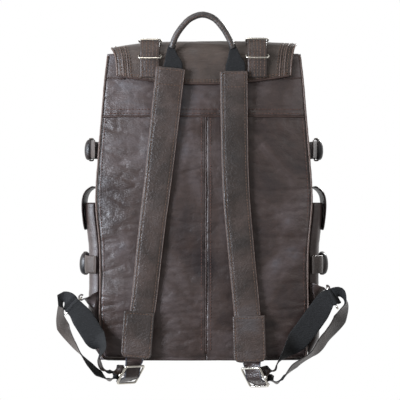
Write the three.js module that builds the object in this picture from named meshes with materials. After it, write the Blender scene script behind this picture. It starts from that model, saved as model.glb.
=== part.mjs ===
// A leather backpack that hangs from its haul handle: millimetres, +Z up, straps on the -Y side.
// Everything is drawn in the bag's own frame, whose zero is the middle of the base's underside,
// and the whole group is then moved so that the origin is where a hook holds the haul handle.
import * as THREE from "three";

// ---------------------------------------------------------------- driving dimensions
const HOOK_HEIGHT = 475; // underside of the haul handle above the base
const HOOK_DEPTH = -78; // the haul handle stands this far behind the bag's middle
const WALL = 3; // lined leather wall
const LEATHER = 2.4; // single leather
const GAP = 0.4; // clearance between pieces that are sewn together
const RIM = 427; // top edge of the bag's mouth
const FRONT_RIM = 420;
const YOKE_SEAM = 340; // horizontal seam across the back
const CENTRE_SEAM = 3; // the vertical back seam, slightly off the middle
const CORNER_TURN = 8; // how far back and front turn in towards their side edges
const GUSSET_BULGE = 4;
const BASE_THICKNESS = 3;
const WIRE = 2.6; // small rings
const BUCKLE_WIRE = 3.6;

// Height against half width, back depth and front depth of the filled bag.
const halfWidth = profile([[0, 146], [60, 148], [108, 147], [150, 147.5], [220, 153], [276, 150],
  [340, 145], [395, 140.5], [427, 137]]);
const backDepth = profile([[0, 70], [100, 75], [200, 76], [300, 73], [395, 66], [427, 62]]);
const frontDepth = profile([[0, 68], [100, 74], [200, 74], [300, 68], [380, 56], [427, 46]]);

// ---------------------------------------------------------------- materials
function material(color, roughness, metalness = 0) {
  return new THREE.MeshStandardMaterial({ color, roughness, metalness });
}
const leather = () => material(0x4b3e38, 0.5);
const darkLeather = () => material(0x2d2421, 0.55);
const webbing = () => material(0x23262a, 0.9);
const cloth = () => material(0x3a342f, 0.95);
const board = () => material(0x8a7a62, 0.9);
const foam = () => material(0x6f6f70, 1);
const metal = () => material(0xd8cdb8, 0.25, 1);

// ---------------------------------------------------------------- helpers
function profile(stations, Kind = THREE.CubicInterpolant) {
  const places = stations.map(([place]) => place);
  const values = stations.map(([, value]) => value);
  const curve = new Kind(places, values, 1);
  return (place) => curve.evaluate(place)[0];
}

const point = (x, y, z) => new THREE.Vector3(x, y, z);
const mix = THREE.MathUtils.lerp;

// A closed body from its vertices and triangles, with its faces turned outwards.
function closedBody(vertices, triangles) {
  let volume = 0;
  for (const [a, b, c] of triangles) {
    volume += vertices[a].dot(vertices[b].clone().cross(vertices[c]));
  }
  const order = volume > 0 ? triangles : triangles.map(([a, b, c]) => [a, c, b]);
  const geometry = new THREE.BufferGeometry().setFromPoints(vertices);
  geometry.setIndex(order.flat());
  geometry.computeVertexNormals();
  return geometry;
}

// A wall between two surfaces, each given as a function of (u, v) from 0 to 1.
function wallBetween(columns, rows, outer, inner) {
  const vertices = [];
  for (const face of [outer, inner]) {
    for (let row = 0; row <= rows; row += 1) {
      for (let column = 0; column <= columns; column += 1) {
        vertices.push(face(column / columns, row / rows));
      }
    }
  }
  const layer = (columns + 1) * (rows + 1);
  const at = (side, column, row) => side * layer + row * (columns + 1) + column;
  const triangles = [];
  const quad = (a, b, c, d) => triangles.push([a, b, c], [a, c, d]);
  for (let row = 0; row < rows; row += 1) {
    for (let column = 0; column < columns; column += 1) {
      quad(at(0, column, row), at(0, column + 1, row), at(0, column + 1, row + 1), at(0, column, row + 1));
      quad(at(1, column, row), at(1, column, row + 1), at(1, column + 1, row + 1), at(1, column + 1, row));
    }
    quad(at(0, 0, row), at(0, 0, row + 1), at(1, 0, row + 1), at(1, 0, row));
    quad(at(0, columns, row), at(1, columns, row), at(1, columns, row + 1), at(0, columns, row + 1));
  }
  for (let column = 0; column < columns; column += 1) {
    quad(at(0, column, 0), at(1, column, 0), at(1, column + 1, 0), at(0, column + 1, 0));
    quad(at(0, column, rows), at(0, column + 1, rows), at(1, column + 1, rows), at(1, column, rows));
  }
  return closedBody(vertices, triangles);
}

// A body through a row of rings of equal length: capped at both ends, or joined end to end.
function loft(rings, joined = false) {
  const size = rings[0].length;
  const vertices = rings.flat();
  const triangles = [];
  const spans = joined ? rings.length : rings.length - 1;
  for (let ring = 0; ring < spans; ring += 1) {
    const here = ring * size;
    const next = ((ring + 1) % rings.length) * size;
    for (let corner = 0; corner < size; corner += 1) {
      const turn = (corner + 1) % size;
      triangles.push([here + corner, here + turn, next + turn], [here + corner, next + turn, next + corner]);
    }
  }
  if (!joined) {
    const last = (rings.length - 1) * size;
    for (let corner = 1; corner < size - 1; corner += 1) {
      triangles.push([0, corner + 1, corner], [last, last + corner, last + corner + 1]);
    }
  }
  return closedBody(vertices, triangles);
}

// A flat strap. Each station is [centre, direction across the strap, width].
function strap(stations, thickness, steps) {
  const centre = new THREE.CatmullRomCurve3(stations.map(([at]) => at));
  const across = new THREE.CatmullRomCurve3(stations.map(([, way]) => way), false, "catmullrom");
  const widths = stations.map(([, , width]) => width);
  const rings = [];
  for (let step = 0; step <= steps; step += 1) {
    const t = step / steps;
    const place = t * (stations.length - 1);
    const before = Math.min(Math.floor(place), stations.length - 2);
    const width = mix(widths[before], widths[before + 1], place - before);
    const along = centre.getTangent(t);
    const sideways = across.getPoint(t);
    sideways.addScaledVector(along, -sideways.dot(along)).setLength(width / 2);
    const up = along.clone().cross(sideways).setLength(thickness / 2);
    const middle = centre.getPoint(t);
    rings.push([[1, 1], [-1, 1], [-1, -1], [1, -1]].map(([a, b]) =>
      middle.clone().addScaledVector(sideways, a).addScaledVector(up, b)));
  }
  return loft(rings);
}

// A bent wire in the local XY plane round a rectangle with round corners.
function wireFrame(width, height, radius, corner, sides = 6) {
  const turns = [[1, 1, 0], [-1, 1, 1], [-1, -1, 2], [1, -1, 3]];
  const path = [];
  for (const [x, y, quarter] of turns) {
    const middle = point(x * (width / 2 - radius - corner), y * (height / 2 - radius - corner), 0);
    for (let step = 0; step <= 3; step += 1) {
      const angle = (quarter + step / 3) * (Math.PI / 2);
      path.push([middle.clone().add(point(Math.cos(angle) * corner, Math.sin(angle) * corner, 0)), angle]);
    }
  }
  const rings = path.map(([at, angle]) => Array.from({ length: sides }, (_, index) => {
    const turn = ((index + 0.5) / sides) * 2 * Math.PI;
    const out = radius * Math.cos(turn);
    return at.clone().add(point(Math.cos(angle) * out, Math.sin(angle) * out, radius * Math.sin(turn)));
  }));
  return loft(rings, true);
}

// A round bar between two points.
function bar(from, to, radius, sides = 8) {
  const along = to.clone().sub(from);
  const geometry = new THREE.CylinderGeometry(radius, radius, along.length(), sides);
  const turn = new THREE.Quaternion().setFromUnitVectors(point(0, 1, 0), along.normalize());
  geometry.applyQuaternion(turn);
  const middle = from.clone().add(to).multiplyScalar(0.5);
  return geometry.translate(middle.x, middle.y, middle.z);
}

const bag = new THREE.Group();

function add(name, geometry, finish, parent = bag) {
  const mesh = new THREE.Mesh(geometry, finish);
  mesh.name = name;
  parent.add(mesh);
  return mesh;
}

// A group whose local X, Y and Z lie along the three directions given.
function turnedGroup(at, xWay, yWay, zWay) {
  const group = new THREE.Group();
  group.position.copy(at);
  group.quaternion.setFromRotationMatrix(new THREE.Matrix4().makeBasis(xWay, yWay, zWay));
  bag.add(group);
  return group;
}

// ---------------------------------------------------------------- body shell
const crossTurn = (x, z) => CORNER_TURN * (x / halfWidth(z)) ** 4;
const backFace = (x, z) => crossTurn(x, z) - backDepth(z);
const frontFace = (x, z) => frontDepth(z) - crossTurn(x, z);
const backEdge = (z) => CORNER_TURN - backDepth(z);
const frontEdge = (z) => frontDepth(z) - CORNER_TURN;

// Outer face of the gusset at a depth y and a height z, without its side.
function gussetFace(y, z) {
  const t = THREE.MathUtils.clamp((y - backEdge(z)) / (frontEdge(z) - backEdge(z)), 0, 1);
  return halfWidth(z) - GAP / 2 + GUSSET_BULGE * Math.sin(Math.PI * t);
}

function backWall(left, right, bottom, top, columns, rows) {
  const face = (depth) => (u, v) => {
    const z = mix(bottom, top, v);
    const reach = halfWidth(z);
    const x = mix(Math.max(left, -reach), Math.min(right, reach), u);
    return point(x, backFace(x, z) + depth, z);
  };
  return wallBetween(columns, rows, face(0), face(WALL));
}

function frontWall(columns, rows) {
  const face = (depth) => (u, v) => {
    const z = mix(BASE_THICKNESS + GAP, FRONT_RIM, v);
    const x = mix(-1, 1, u) * halfWidth(z);
    return point(x, frontFace(x, z) - depth, z);
  };
  return wallBetween(columns, rows, face(0), face(WALL));
}

function gussetWall(side, columns, rows) {
  const face = (depth) => (u, v) => {
    const z = mix(BASE_THICKNESS + GAP, RIM, v);
    const y = mix(backEdge(z) + WALL + GAP, frontEdge(z) - WALL - GAP, u);
    return point(side * (gussetFace(y, z) - depth), y, z);
  };
  return wallBetween(columns, rows, face(0), face(WALL));
}

// The bag's outline at one height, pulled in by the given amounts.
function outline(z, sideInset, backInset, frontInset, level = z) {
  const reach = halfWidth(z) - sideInset;
  const back = -backDepth(z) + backInset;
  const front = frontDepth(z) - frontInset;
  const ring = [];
  const edges = 8;
  for (let step = 0; step < edges; step += 1) {
    const s = mix(-1, 1, step / edges);
    ring.push(point(s * reach, back + CORNER_TURN * s ** 4, level));
  }
  ring.push(point(reach, back + CORNER_TURN, level));
  for (let step = 0; step < edges; step += 1) {
    const s = mix(1, -1, step / edges);
    ring.push(point(s * reach, front - CORNER_TURN * s ** 4, level));
  }
  ring.push(point(-reach, front - CORNER_TURN, level));
  return ring;
}

const BACK_EDGE = 200; // further out than the back ever reaches: each row stops at its own edge
const panelFoot = BASE_THICKNESS + GAP;
const panelTop = YOKE_SEAM - GAP;
add("back_panel_left", backWall(-BACK_EDGE, CENTRE_SEAM - GAP, panelFoot, panelTop, 7, 12), leather());
add("back_panel_right", backWall(CENTRE_SEAM, BACK_EDGE, panelFoot, panelTop, 7, 12), leather());
add("back_yoke", backWall(-BACK_EDGE, BACK_EDGE, YOKE_SEAM, RIM, 14, 4), leather());
add("front_panel", frontWall(14, 14), leather());
add("gusset_left", gussetWall(-1, 7, 14), leather());
add("gusset_right", gussetWall(1, 7, 14), leather());

const edgeRound = 2.4;
add("base_panel", loft([
  outline(0, edgeRound, edgeRound, edgeRound, 0),
  outline(0, edgeRound / 4, edgeRound / 4, edgeRound / 4, BASE_THICKNESS / 2),
  outline(0, 0, 0, 0, BASE_THICKNESS),
]), leather());

const boardBottom = BASE_THICKNESS + GAP;
const boardTop = boardBottom + 3;
const boardInset = WALL + 2 * GAP + 1;
add("base_board", loft([boardBottom, boardTop].map((level) =>
  outline(level, boardInset, boardInset, boardInset))), board());

// Padding behind the back panel, between leather and lining.
const PAD = 6;
const padFront = WALL + GAP + PAD;
const padFace = (depth) => (u, v) => {
  const z = mix(boardTop + 4, 398, v);
  const x = mix(-1, 1, u) * (halfWidth(z) - 9);
  return point(x, backFace(x, z) + depth, z);
};
add("back_pad", wallBetween(12, 10, padFace(WALL + GAP), padFace(padFront)), foam());

// Lining: a thin open bag inside the walls.
const LINING = 1.2;
const liningTop = RIM - 9;
const liningBottom = boardTop + GAP;
const liningLevels = 9;
function liningRing(z, thickness) {
  return outline(z, WALL + 2.6 + thickness, padFront + GAP + thickness, WALL + 2 * GAP + thickness);
}
const liningHeights = Array.from({ length: liningLevels + 1 }, (_, step) =>
  mix(liningBottom, liningTop, step / liningLevels));
const liningFloor = [liningBottom + LINING, ...liningHeights.slice(1)];
add("lining", loft([
  ...liningHeights.map((z) => liningRing(z, 0)),
  ...liningFloor.reverse().map((z) => liningRing(z, LINING)),
]), cloth());

// ---------------------------------------------------------------- flap
// Depth and height of the flap's outer face, from its seam over the ridge and down the front.
const flapLine = new THREE.CatmullRomCurve3([
  [-70.4, 383], [-70.8, 400], [-69.6, 416], [-66, 431], [-57, 441.5], [-43, 446.5],
  [-15, 448], [20, 447], [48, 440], [63, 423], [69.5, 395], [75.5, 355], [79.5, 315], [81.5, 272],
].map(([y, z]) => point(0, y, z)), false, "catmullrom");
const FLAP_SPANS = 13;
const RIDGE = 5 / FLAP_SPANS; // the lid hinges here
const FLAP_FRONT = 9 / FLAP_SPANS; // the lid turns down here
const FLAP_SEAM_RISE = 12; // the flap's seam climbs this far towards its ends
const flapReach = profile([[0, 121], [0.2, 124], [RIDGE, 131], [FLAP_FRONT, 132], [1, 128]]);
const DROOP_LEFT = 10;
const DROOP_RIGHT = 4;

// A place on the flap: x across, t along its line, and how far outside its outer face.
function onFlap(x, t, lift) {
  const at = flapLine.getPoint(t);
  const along = flapLine.getTangent(t);
  const backness = THREE.MathUtils.clamp(1 - t / RIDGE, 0, 1);
  const droop = x < 0 ? DROOP_LEFT : DROOP_RIGHT;
  const topness = Math.sin(Math.PI * THREE.MathUtils.clamp(t / FLAP_FRONT, 0, 1)) ** 2;
  const y = at.y + crossTurn(x, RIM) * backness - lift * along.z;
  const z = at.z - droop * Math.abs(x / flapReach(RIDGE)) ** 3 * topness + lift * along.y;
  return point(x, y, z);
}

function flapSeam(x) {
  return (FLAP_SEAM_RISE / 17) * (x / flapReach(0)) ** 2 / FLAP_SPANS;
}

const flapBackFace = (lift) => (u, v) => {
  const across = mix(-1, 1, u);
  const start = flapSeam(across * flapReach(0));
  const t = mix(start, RIDGE - 0.002, v);
  return onFlap(across * flapReach(t), t, lift);
};
add("flap_back", wallBetween(14, 8, flapBackFace(0), flapBackFace(-LEATHER)), leather());

const flapLidFace = (lift) => (u, v) => {
  const t = mix(RIDGE + 0.002, 1, v);
  return onFlap(mix(-1, 1, u) * flapReach(t), t, lift);
};
add("flap_lid", wallBetween(14, 16, flapLidFace(0), flapLidFace(-LEATHER)), leather());

// Straps that run over the flap, in two lengths that meet at the hinge.
const FLAP_STRAP = 27;
const flapStraps = { left: [-76, -76], right: [75, 74] }; // x at the seam and at the front
const STRAP_LIFT = 3.6; // raised clear of the inner bars of the rings
const LOOP_TILT = Math.PI / 4;
const loopStations = { lower: 2.52 / FLAP_SPANS, upper: 4.3 / FLAP_SPANS };

function flapStrap(x, from, to, liftAt, steps) {
  const stations = Array.from({ length: steps + 1 }, (_, step) => {
    const t = mix(from, to, step / steps);
    const width = FLAP_STRAP;
    return [onFlap(x, t, liftAt(t) + LEATHER / 2), point(1, 0, 0), width];
  });
  return strap(stations, LEATHER, steps);
}

const tabLift = profile([[0, GAP], [0.6 / FLAP_SPANS, GAP], [2 / FLAP_SPANS, STRAP_LIFT],
  [4.5 / FLAP_SPANS, STRAP_LIFT], [RIDGE, GAP + 2]], THREE.LinearInterpolant);
const lidLift = profile([[RIDGE, GAP + 2], [RIDGE + 0.05, GAP + 0.2], [1, GAP + 0.2]],
  THREE.LinearInterpolant);
const FLAP_STRAP_TAIL = 26; // below the flap's front edge
for (const [hand, [x, xFront]] of Object.entries(flapStraps)) {
  const seam = flapSeam(x) + 0.02;
  add(`flap_tab_${hand}`, flapStrap(x, seam, RIDGE - 0.005, tabLift, 10), leather());
  const overLid = Array.from({ length: 19 }, (_, step) => {
    const t = mix(RIDGE + 0.005, 1, step / 18);
    const place = onFlap(mix(x, xFront, t), t, lidLift(t) + LEATHER / 2);
    return [place, point(1, 0, 0), FLAP_STRAP];
  });
  const tail = overLid.at(-1)[0].clone().add(point(0, 0.6, -FLAP_STRAP_TAIL));
  const stations = [...overLid, [tail, point(1, 0, 0), FLAP_STRAP - 4]];
  add(`flap_strap_${hand}`, strap(stations, LEATHER, 20), leather());
}

// Wire loops round the flap straps: each swings about its inner bar, which lies under the strap.
const LOOP_WIDTH = 34;
const LOOP_HEIGHT = 11.6;
for (const [level, t] of Object.entries(loopStations)) {
  for (const [hand, [x]] of Object.entries(flapStraps)) {
    const along = onFlap(x, t + 0.001, 0).sub(onFlap(x, t - 0.001, 0)).normalize();
    const out = point(1, 0, 0).cross(along);
    const reach = out.clone().multiplyScalar(Math.cos(LOOP_TILT));
    reach.addScaledVector(along, -Math.sin(LOOP_TILT));
    const inner = onFlap(x, t, WIRE / 2 + 0.6);
    const middle = inner.clone().addScaledVector(reach, (LOOP_HEIGHT - WIRE) / 2);
    const group = turnedGroup(middle, point(1, 0, 0), reach, point(1, 0, 0).cross(reach));
    add(`flap_loop_${level}_${hand}`, wireFrame(LOOP_WIDTH, LOOP_HEIGHT, WIRE / 2, 3), metal(), group);
  }
}

// Front closures: a buckle frame and prong on each flap strap, with a magnet sewn in behind it.
const frontBuckleAt = 0.93;
for (const [hand, [x, xFront]] of Object.entries(flapStraps)) {
  const place = mix(x, xFront, frontBuckleAt);
  const middle = onFlap(place, frontBuckleAt, LEATHER + GAP * 2 + 1.6 + GAP);
  const below = onFlap(place, frontBuckleAt + 0.01, 0);
  const along = below.sub(onFlap(place, frontBuckleAt - 0.01, 0)).normalize();
  const out = point(1, 0, 0).cross(along);
  const group = turnedGroup(middle, point(1, 0, 0), along, out);
  add(`front_buckle_${hand}`, wireFrame(36, 30, 1.6, 4), metal(), group);
  const prongFrom = point(0, -10.6, 0);
  const prongTo = point(0, 10.8, 0);
  add(`front_prong_${hand}`, bar(prongFrom, prongTo, 1.3), metal(), group);
}

// ---------------------------------------------------------------- pockets
// A pocket sewn on a face: flat at its foot and sides, open at its top.
function pocketShell(width, bottom, top, depth, place, columns = 12, rows = 9) {
  const rounded = (u) => Math.sqrt(1 - (2 * u - 1) ** 6);
  const risen = (v) => Math.sin((Math.min(1, v * 4) * Math.PI) / 2);
  const swell = (u, v) => depth * rounded(u) * risen(v);
  const face = (lift) => (u, v) => place((u - 0.5) * width, mix(bottom, top, v), lift + swell(u, v));
  return wallBetween(columns, rows, face(GAP + LEATHER), face(GAP));
}

// A pocket flap, from its hinge line out over the pocket's top and down its face.
function pocketFlap(width, line, place, columns = 10) {
  const curve = new THREE.CatmullRomCurve3(line.map(([lift, z]) => point(lift, 0, z)), false, "catmullrom");
  const face = (depth) => (u, v) => {
    const at = curve.getPoint(v);
    const along = curve.getTangent(v);
    const square = width / 2 * (v > 0.8 ? 1 - 0.16 * ((v - 0.8) / 0.2) ** 2 : 1);
    return place(mix(-1, 1, u) * square, at.z + depth * along.x, at.x - depth * along.z);
  };
  return wallBetween(columns, 10, face(0), face(-LEATHER));
}

const onFront = (across, z, lift) => point(across, frontFace(across, z) + lift, z);
const FRONT_POCKET = { width: 190, bottom: 24, top: 212, depth: 22 };
add("front_pocket", pocketShell(FRONT_POCKET.width, FRONT_POCKET.bottom, FRONT_POCKET.top,
  FRONT_POCKET.depth, onFront), leather());
const frontLift = FRONT_POCKET.depth + LEATHER + GAP;
add("front_pocket_flap", pocketFlap(FRONT_POCKET.width + 6, [[GAP + LEATHER, 232], [12, 229],
  [frontLift, 219], [frontLift + 4.4, 204], [frontLift + 4.4, 158]], (across, z, lift) =>
  point(across, frontFace(0, z) + lift, z)), leather());

const SIDE_POCKET = { width: 92, bottom: 18, top: 216, depth: 12 };
const SIDE_STRAP = 28;
for (const [hand, side] of [["left", -1], ["right", 1]]) {
  const onSide = (across, z, lift) => point(side * (gussetFace(across, z) + lift), across, z);
  const offSide = (across, z, lift) => point(side * (gussetFace(0, z) + lift), across, z);
  add(`side_pocket_${hand}`, pocketShell(SIDE_POCKET.width, SIDE_POCKET.bottom, SIDE_POCKET.top,
    SIDE_POCKET.depth, onSide, 10, 9), leather());
  const lift = SIDE_POCKET.depth + LEATHER + GAP;
  add(`side_flap_${hand}`, pocketFlap(SIDE_POCKET.width - 2, [[GAP + LEATHER, 240], [8, 237.5],
    [lift, 230], [lift + 3.6, 214], [lift + 3.6, 176]], offSide, 8), leather());

  // Two straps run across the side, one above the pocket and one round it.
  const sideStraps = { upper: [293, GAP + 1.2, 11, 50], lower: [128, lift + 1.2, lift + 6.5, 40] };
  for (const [level, [z, low, high, reach]] of Object.entries(sideStraps)) {
    const foot = GAP + LEATHER / 2 + 0.3;
    const up = point(0, 0, 1);
    const ends = level === "upper"
      ? [[-reach - 4, foot], [-reach + 10, foot + 2], [-20, high - 2], [0, high], [20, high - 2],
        [reach - 8, low + 2], [reach, low]]
      : [[-reach - 17, foot], [-reach - 10, foot + 2], [-reach, low + 1], [-20, high - 1.5], [0, high],
        [20, high - 1.5], [reach, low + 1], [reach + 10, foot + 2], [reach + 16, foot]];
    add(`side_strap_${level}_${hand}`, strap(ends.map(([across, raise]) =>
      [offSide(across, z, raise), up, SIDE_STRAP]), LEATHER, 16), darkLeather());
    const frame = turnedGroup(offSide(0, z, high), point(side, 0, 0), up.clone(), point(0, -side, 0));
    add(`side_buckle_${level}_${hand}`, wireFrame(8.4, SIDE_STRAP + 6.4, WIRE / 2, 1.6), metal(), frame);
  }
}

// ---------------------------------------------------------------- haul handle
const HANDLE_RADIUS = 4.25;
const handleTop = HOOK_HEIGHT + HANDLE_RADIUS;
const HANDLE_FOOT = 433; // where the rolled leather meets its webbing
const WEBBING_FOOT = 409.6;
const WEBBING_DEPTH = -73.9;
const handleLine = new THREE.CatmullRomCurve3([
  [-45.6, WEBBING_DEPTH, HANDLE_FOOT], [-39.6, -76, 449], [-30, -77.6, 463], [-19, HOOK_DEPTH, 473.6],
  [-2.5, HOOK_DEPTH, handleTop], [13.5, HOOK_DEPTH, 474.2], [25, -77.6, 462.5], [33.8, -76, 449],
  [40.8, WEBBING_DEPTH, HANDLE_FOOT],
].map(([x, y, z]) => point(x, y, z)));
const rollSection = new THREE.Shape();
rollSection.absarc(0, 0, HANDLE_RADIUS, 0, 2 * Math.PI);
add("handle", new THREE.ExtrudeGeometry(rollSection, {
  extrudePath: handleLine, steps: 26, curveSegments: 5,
}), darkLeather());

const handleWebbing = {
  left: [[-43.4, WEBBING_FOOT, 27], [-45.6, 421, 18], [-46, HANDLE_FOOT - 2.6, 9]],
  right: [[44, WEBBING_FOOT, 28], [42.4, 421, 18], [41.2, HANDLE_FOOT - 2.6, 9]],
};
for (const [hand, stations] of Object.entries(handleWebbing)) {
  add(`handle_webbing_${hand}`, strap(stations.map(([x, z, width]) =>
    [point(x, WEBBING_DEPTH, z), point(1, 0, 0), width]), LEATHER, 6), webbing());
}

// Webbing stubs behind the strap tops, where strap and handle are sewn to the bag.
const ANCHOR_TOP = 406.2;
for (const [hand, x] of [["left", -45], ["right", 43.4]]) {
  const stub = new THREE.BoxGeometry(30, 2.2, 38);
  stub.translate(x, WEBBING_DEPTH, ANCHOR_TOP - 19);
  add(`strap_anchor_${hand}`, stub, webbing());
}

// ---------------------------------------------------------------- shoulder straps
const STRAP_THICKNESS = 4.6;
const PATCH_THICKNESS = 2.2;
const PATCH_FACE = -79.2 - STRAP_THICKNESS / 2 - 2 * GAP;
const TONGUE_TOP = 7;
const TONGUE_DEPTH = -79.2;
const TONGUE_THICKNESS = 2.2;
const shoulder = {
  left: {
    line: [[-46.7, -78.2, 405, 40], [-53.9, -79.8, 339, 39], [-64.8, -81, 242, 37],
      [-73, -81, 178, 36], [-84.7, -79.6, 73, 34.5], [-93.9, -79.2, 11, 34]],
    patch: { top: [-90, 64], bottom: [-95, -1.4], width: 43.4 },
    buckle: {
      centre: point(-102.9, -73, -25.4),
      across: point(28, 19.6, -1).normalize(),
      down: point(-14.7, 19.6, -27.7).normalize(),
      outer: -1,
    },
  },
  right: {
    line: [[41.6, -78.2, 400, 37.5], [42.3, -79.8, 339, 37], [44.8, -81, 235, 36.4],
      [52.4, -80.6, 143, 36], [60.5, -79.6, 59, 36], [63.6, -79.2, 11, 36]],
    patch: { top: [62.6, 58], bottom: [64.6, -7], width: 45.6 },
    buckle: {
      centre: point(71.5, -74.4, -28.8),
      across: point(26.4, -17.5, 2.6).normalize(),
      down: point(14.5, 17.5, -29.9).normalize(),
      outer: 1,
    },
  },
};
const BUCKLE_WIDTH = 34;
const BUCKLE_LENGTH = 38;
const TONGUE = 25;
const barReach = (BUCKLE_LENGTH - BUCKLE_WIRE) / 2;
const PIN_RADIUS = 1.5;

function patchShape(width, length) {
  const shape = new THREE.Shape();
  const corner = 9;
  shape.moveTo(-width / 2, 0);
  shape.lineTo(-width / 2, -length + corner);
  shape.absarc(-width / 2 + corner, -length + corner, corner, Math.PI, 1.5 * Math.PI);
  shape.absarc(width / 2 - corner, -length + corner, corner, 1.5 * Math.PI, 2 * Math.PI);
  shape.lineTo(width / 2, 0);
  return shape;
}

for (const [hand, { line, patch, buckle }] of Object.entries(shoulder)) {
  add(`shoulder_strap_${hand}`, strap(line.map(([x, y, z, width]) =>
    [point(x, y, z), point(1, 0, 0), width]), STRAP_THICKNESS, 22), leather());

  const run = point(patch.bottom[0] - patch.top[0], 0, patch.bottom[1] - patch.top[1]);
  const plate = new THREE.ExtrudeGeometry(patchShape(patch.width, run.length()), {
    depth: PATCH_THICKNESS, bevelEnabled: false, curveSegments: 5,
  });
  const upward = run.clone().normalize().negate();
  const plateGroup = turnedGroup(point(patch.top[0], PATCH_FACE, patch.top[1]),
    upward.clone().cross(point(0, -1, 0)), upward, point(0, -1, 0));
  add(`strap_patch_${hand}`, plate, leather(), plateGroup);

  // The tongue passes behind the top bar, in front of the pin and behind the bottom bar.
  const { centre, across, down, outer } = buckle;
  const toward = down.clone().cross(across);
  const local = (s, lift) => centre.clone().addScaledVector(down, s).addScaledVector(toward, lift);
  const level = point(1, 0, 0);
  const start = point(patch.bottom[0] + 0.3, TONGUE_DEPTH, TONGUE_TOP);
  const underTop = local(-barReach, -6.4);
  const patchEnd = (TONGUE_TOP - patch.bottom[1] + 0.5) / (TONGUE_TOP - underTop.z);
  const tongueLine = [
    [start, level, TONGUE],
    [start.clone().lerp(underTop, patchEnd), level, TONGUE],
    [underTop, level.clone().lerp(across, 0.7), TONGUE],
    [local(-barReach / 2, -1.6), across, TONGUE],
    [local(0, PIN_RADIUS + 1.8), across, TONGUE],
    [local(barReach / 2, -0.8), across, TONGUE],
    [local(barReach, -6.2), across, TONGUE],
    [local(barReach + 3, -6.9), across, TONGUE],
  ];
  add(`strap_tongue_${hand}`, strap(tongueLine, TONGUE_THICKNESS, 21), leather());

  const frame = turnedGroup(centre, across.clone(), down.clone(), across.clone().cross(down));
  add(`strap_buckle_${hand}`, wireFrame(BUCKLE_WIDTH, BUCKLE_LENGTH, BUCKLE_WIRE / 2, 3), metal(), frame);
  const side = outer * (BUCKLE_WIDTH / 2 - BUCKLE_WIRE - GAP);
  add(`buckle_pin_${hand}`, bar(point(-side, 0, 0), point(side, 0, 0), PIN_RADIUS), metal(), frame);
}

// ---------------------------------------------------------------- lower corners
// Each tab tapers from the side seam to the short end of a wire ring. The adjuster strap comes
// up from the buckle, turns over the ring's near bar and goes back to the buckle.
const ADJUSTER = 1.8;
const GATHERED = 0.6; // the webbing's solid is this much of its flat width, so that its twists stay clear
const RING_LENGTH = 36;
const RING_DEPTH = 13;
const WRAP_CLEARANCE = 1.5;
const corners = {
  left: {
    seam: point(-151.4, -62, 77),
    middle: point(-184, -64, 70.5),
    along: point(-0.69, 0, -0.724),
    leaving: point(-0.69, 0, -0.724),
    upper: [
      [-170, -76, 54, -0.93, 0, -0.36, 31], [-153, -80, 28, -0.95, 0, -0.31, 31],
      [-143, -83, 13, -0.5, 0.85, -0.2, 28], [-147, -81, -1, 0.05, 1, 0, 26],
      [-143.5, -76, -14, 0.1, 1, 0.1, 24], [-133, -73, -21, 0, 0.9, -0.4, 20],
    ],
    lower: [
      [-199, -60, 76, -0.35, 0.85, -0.3, 27], [-203, -57, 58, -0.4, 0.9, 0, 30],
      [-199, -58, 40, -0.7, 0.7, 0, 31],
      [-182, -60, 13, -0.45, 0.88, 0.1, 31], [-161, -64, -12, -0.05, 0.98, 0.2, 30],
      [-148, -66, -24.6, 0, 0.95, 0.3, 26], [-133, -68, -33, -0.1, 0.85, -0.3, 22],
    ],
  },
  right: {
    seam: point(153.2, -62, 90),
    middle: point(181, -64, 81),
    along: point(0.42, -0.35, -0.837),
    leaving: point(0.35, 0.6, -0.7),
    upper: [
      [160, -76, 62, 0.76, -0.1, -0.65, 31], [133, -80, 26, 0.9, 0.05, -0.42, 31],
      [115, -83, 6, 0.5, 0.8, -0.2, 28], [103, -82, -8, 0.1, 0.99, 0, 24],
      [97.5, -78, -19, 0, 0.95, -0.3, 20],
    ],
    lower: [
      [199, -63, 76, 0.2, 0.95, -0.2, 27], [192, -60, 52, 0.75, 0.66, 0, 30],
      [172, -66, 27, 0.6, 0.8, 0.1, 30], [153, -77, 6, 0.55, 0.83, 0.1, 29],
      [127, -80, -12, 0.55, 0.83, 0, 28], [111, -76, -29, 0.2, 0.95, 0.2, 26],
      [100, -73, -36, 0.1, 0.85, -0.3, 22],
    ],
  },
};

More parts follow.
